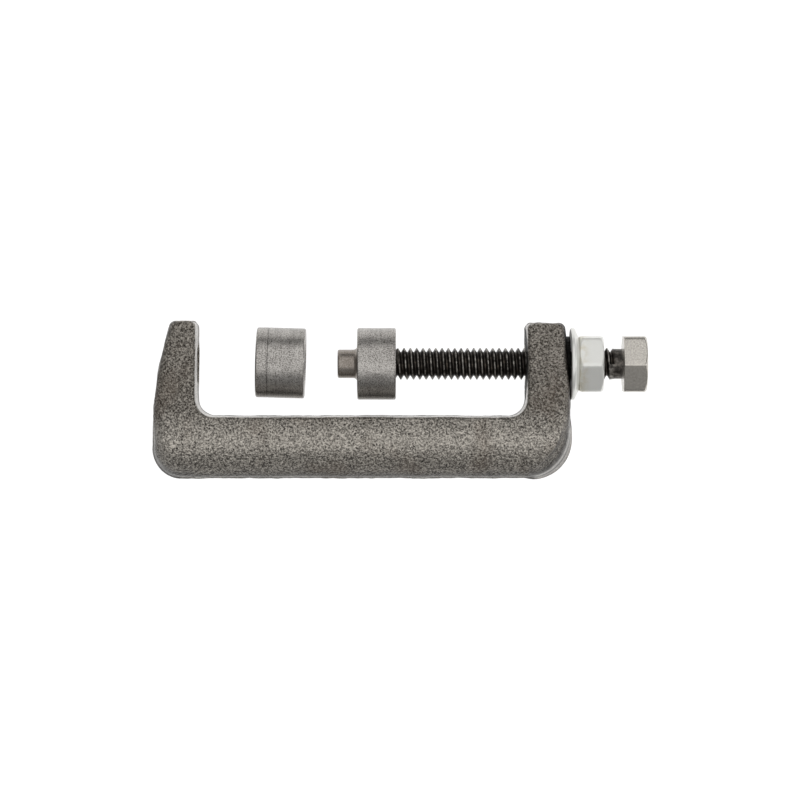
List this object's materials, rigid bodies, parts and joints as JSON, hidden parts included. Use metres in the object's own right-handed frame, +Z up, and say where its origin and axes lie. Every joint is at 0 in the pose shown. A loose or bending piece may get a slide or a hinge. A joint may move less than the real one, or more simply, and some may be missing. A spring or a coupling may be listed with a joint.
{
  "type": "ball joint separator",
  "caption": "Screw-type ball joint separator: forged C frame, forcing screw with swivelling pusher cap, lock nut, conical washer and loose receiving collar.",
  "frame": {"origin": "on the resting plane, under the middle of the whole tool's box as it lies on its back", "axes": "+X along the forcing screw towards its head, +Y from the beam to the frame's open mouth, +Z up, out of the face that is seen"},
  "size_m": [0.0988, 0.0312, 0.015],
  "materials": {
    "forged_steel": "shot-blasted as forged, unpainted",
    "black_steel": "black oxide, thread crests worn bright, head bare",
    "turned_steel": "tumbled and heat treated, satin grey",
    "spring_wire": "oiled spring wire",
    "zinc_plate": "bright zinc plate"
  },
  "bodies": {
    "frame": {"c_frame": "forged_steel"},
    "pusher": {"pusher_cap": "turned_steel", "retaining_ring": "spring_wire"},
    "screw": {"forcing_screw": "black_steel"},
    "washer": {"conical_washer": "zinc_plate"},
    "nut": {"hex_nut": "zinc_plate"},
    "collar": {"receiving_collar": "turned_steel"}
  },
  "joints": [
    {"name": "screw_travel", "type": "slide", "parent": "frame", "child": "pusher", "axis": [1, 0, 0], "range_m": [0, 0.0254]},
    {"name": "screw_turn", "type": "hinge", "parent": "pusher", "child": "screw", "pos_m": [0, 0.00715, 0.0075], "axis": [1, 0, 0], "range_deg": [-2, 7202]},
    {"name": "nut_travel", "type": "slide", "parent": "frame", "child": "washer", "axis": [1, 0, 0], "range_m": [0, 0.000635]},
    {"name": "nut_turn", "type": "hinge", "parent": "washer", "child": "nut", "pos_m": [0.03404, 0.00715, 0.0075], "axis": [1, 0, 0], "range_deg": [-1, 181]},
    {"name": "collar_slide", "type": "slide", "parent": "frame", "child": "collar", "axis": [1, 0, 0], "range_m": [-0.0111, 0.0081]}
  ],
  "couplings": [
    {"joint": "screw_turn", "follows": "screw_travel", "rad_per_m": 4947.4},
    {"joint": "nut_turn", "follows": "nut_travel", "rad_per_m": 4947.4}
  ]
}
